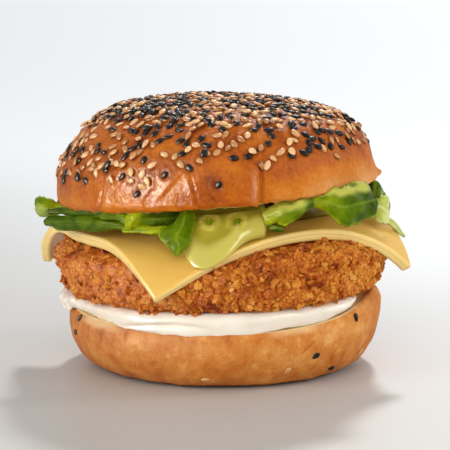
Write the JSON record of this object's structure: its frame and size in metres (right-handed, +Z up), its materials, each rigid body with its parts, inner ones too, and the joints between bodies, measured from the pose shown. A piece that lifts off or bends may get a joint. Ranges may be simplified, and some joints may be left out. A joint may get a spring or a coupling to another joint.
{
  "type": "salmon burger",
  "caption": "Burger on a sesame-seeded bun: white sauce, breaded fish patty, square cheese slice with hanging corners, yellow-green sauce and salad leaves.",
  "frame": {"origin": "middle of the bun bottom's flat underside, on the surface it stands on", "axes": "+Z up, -Y towards the eater's side shown in the picture, +X to the right of that side"},
  "size_m": [0.1241, 0.1241, 0.0886],
  "materials": {
    "bread_bottom": "soft matte baked crust, golden tan",
    "bread_top": "egg-washed baked crust, glossy orange brown",
    "white_sauce": "smooth white mayonnaise, glossy",
    "breading": "coarse fried bread crumb, rough and crisp",
    "cheese": "smooth waxy yellow cheese, satin",
    "yellow_sauce": "smooth yellow-green sauce, wet and glossy",
    "leaf": "fresh green salad leaf, satin",
    "leaf_pale": "pale yellow-green salad leaf, satin"
  },
  "bodies": {
    "root": {"bun_bottom": "bread_bottom", "white_sauce": "white_sauce", "fish_patty": "breading", "cheese_slice": "cheese", "yellow_sauce": "yellow_sauce", "bun_top": "bread_top", "leaf_left_end": "leaf", "leaf_left_rim": "leaf", "leaf_left_upper": "leaf", "leaf_front_flat": "leaf", "leaf_front_crumpled": "leaf", "leaf_front_hanging": "leaf", "leaf_right_curl": "leaf", "leaf_right_low": "leaf", "leaf_right_round": "leaf", "leaf_right_tip": "leaf", "leaf_right_pale": "leaf_pale", "leaf_right_rib": "leaf_pale", "leaf_back_right": "leaf", "leaf_back_middle": "leaf", "leaf_back_left": "leaf", "leaf_back_end": "leaf"}
  },
  "joints": []
}
